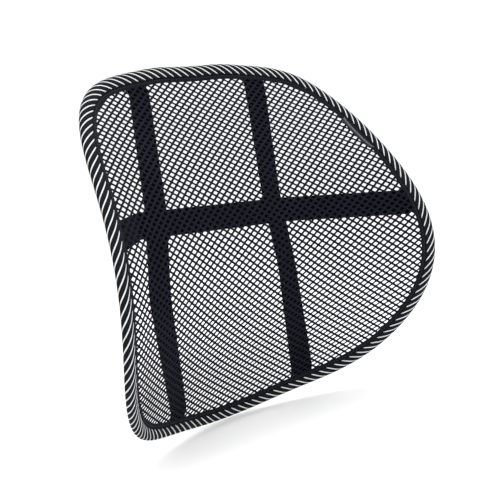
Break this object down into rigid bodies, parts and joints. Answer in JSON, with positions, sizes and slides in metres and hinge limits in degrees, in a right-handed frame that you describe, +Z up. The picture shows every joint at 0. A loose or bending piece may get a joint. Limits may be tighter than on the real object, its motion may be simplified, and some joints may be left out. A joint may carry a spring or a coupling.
{
  "type": "mesh lumbar support",
  "caption": "Wire-framed mesh lumbar support for an office chair, with a bound rim, upright straps and an elastic chair band.",
  "frame": {"origin": "middle of the elastic chair band, on the plane of the upright straps' rear faces, which a chair back presses on", "axes": "+X to the sitter's left, +Y back into the chair, +Z up"},
  "size_m": [0.4044, 0.1363, 0.3522],
  "materials": {
    "spring_steel": "drawn spring wire",
    "ferrule_metal": "pressed",
    "hem_tape": "plain woven tape",
    "striped_binding": "black tape with slanting white stripes",
    "net_yarn": "open knitted net",
    "strap_webbing": "plain woven webbing",
    "elastic_webbing": "ribbed elastic webbing",
    "sewing_thread": "bar-tacked polyester thread",
    "tab_ribbon": "folded satin ribbon"
  },
  "bodies": {
    "support": {"hoop_wire": "spring_steel", "wire_ferrule": "ferrule_metal", "hem_tape": "hem_tape", "edge_binding": "striped_binding", "mesh_panel": "net_yarn", "strap_left": "strap_webbing", "strap_right": "strap_webbing", "band_side_left": "elastic_webbing", "band_side_right": "elastic_webbing", "strap_tacks": "sewing_thread", "band_tacks": "sewing_thread", "side_tab": "tab_ribbon"},
    "chair_band": {"band_middle": "elastic_webbing"}
  },
  "joints": [
    {"name": "band_stretch", "type": "slide", "parent": "support", "child": "chair_band", "axis": [0, 1, 0], "range_m": [0, 0.08], "stiffness_N_per_m": 150, "deforming": ["band_side_left", "band_side_right"]}
  ]
}
